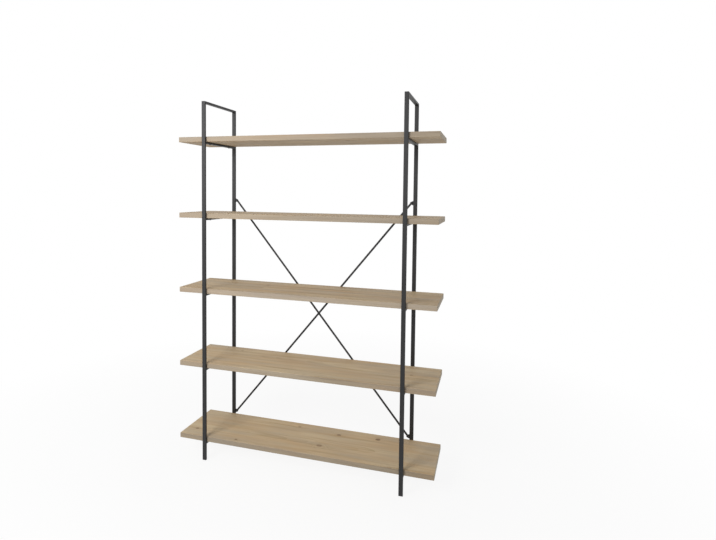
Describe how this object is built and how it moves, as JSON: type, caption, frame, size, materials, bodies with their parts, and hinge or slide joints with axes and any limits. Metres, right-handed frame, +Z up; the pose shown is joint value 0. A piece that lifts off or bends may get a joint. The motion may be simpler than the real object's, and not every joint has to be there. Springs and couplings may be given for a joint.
{
  "type": "shelving unit",
  "caption": "Free-standing open shelving unit: two ladder frames of rectangular steel tube carry long wooden boards that overhang at both ends, with a flat-bar X-brace behind.",
  "frame": {"origin": "on the floor, at the middle of the unit's footprint", "axes": "+X to the right along the boards as seen from the front, +Y from the front to the back, +Z up"},
  "size_m": [1.3, 0.3, 1.8],
  "materials": {
    "frame_steel": "satin charcoal powder coat on welded steel tube",
    "brace_steel": "satin charcoal powder coat on flat steel bar",
    "board_wood": "greyed beige brown wood, matt oiled, grain along the board",
    "foot_plastic": "black moulded plastic",
    "fastener_steel": "black coated steel"
  },
  "bodies": {
    "root": {"left_front_leg": "frame_steel", "left_front_foot_plug": "foot_plastic", "left_rear_leg": "frame_steel", "left_rear_foot_plug": "foot_plastic", "left_top_rail": "frame_steel", "left_rung_1": "frame_steel", "left_rung_2": "frame_steel", "left_rung_3": "frame_steel", "left_rung_4": "frame_steel", "left_rung_5": "frame_steel", "left_upper_brace_ear": "frame_steel", "left_lower_brace_ear": "frame_steel", "right_front_leg": "frame_steel", "right_front_foot_plug": "foot_plastic", "right_rear_leg": "frame_steel", "right_rear_foot_plug": "foot_plastic", "right_top_rail": "frame_steel", "right_rung_1": "frame_steel", "right_rung_2": "frame_steel", "right_rung_3": "frame_steel", "right_rung_4": "frame_steel", "right_rung_5": "frame_steel", "right_upper_brace_ear": "frame_steel", "right_lower_brace_ear": "frame_steel", "shelf_board_1": "board_wood", "shelf_board_2": "board_wood", "shelf_board_3": "board_wood", "shelf_board_4": "board_wood", "shelf_board_5": "board_wood", "front_brace_bar": "brace_steel", "rear_brace_bar": "brace_steel", "brace_end_bolts": "fastener_steel", "brace_end_nuts": "fastener_steel", "crossing_bolt": "fastener_steel", "crossing_nut": "fastener_steel", "crossing_spacer": "fastener_steel"}
  },
  "joints": []
}
